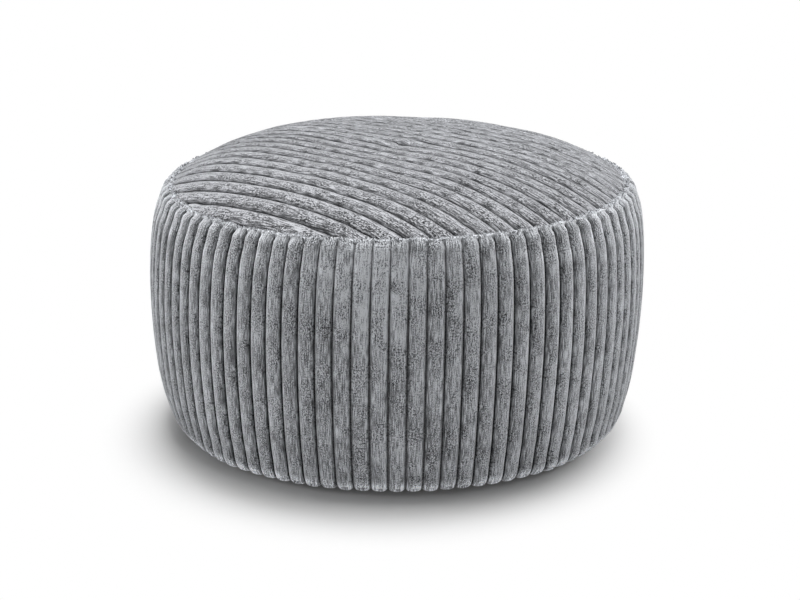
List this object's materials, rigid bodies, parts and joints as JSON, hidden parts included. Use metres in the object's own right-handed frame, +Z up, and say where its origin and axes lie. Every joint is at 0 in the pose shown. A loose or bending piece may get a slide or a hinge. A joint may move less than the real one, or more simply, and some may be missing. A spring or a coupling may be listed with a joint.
{
  "type": "round floor pouf",
  "caption": "Low round pouf seat: a crowned round of jumbo cord on a stuffed, bulging band with upright wales, on a flat base cloth.",
  "frame": {"origin": "middle of the pouf's outline, on the floor that its flat base rests on", "axes": "+Z up through the crown; -Y to the front, towards which the top cloth's wales run from the back left"},
  "size_m": [0.5242, 0.5158, 0.304],
  "materials": {
    "cord_top": "brushed pile of very wide-wale cotton-polyester cord, matt with a soft velvet sheen",
    "cord_band": "brushed pile of very wide-wale cotton-polyester cord, matt with a soft velvet sheen",
    "base_cloth": "plain woven polyester, matt"
  },
  "bodies": {
    "root": {"top_panel": "cord_top", "side_band": "cord_band", "base_panel": "base_cloth"}
  },
  "joints": []
}
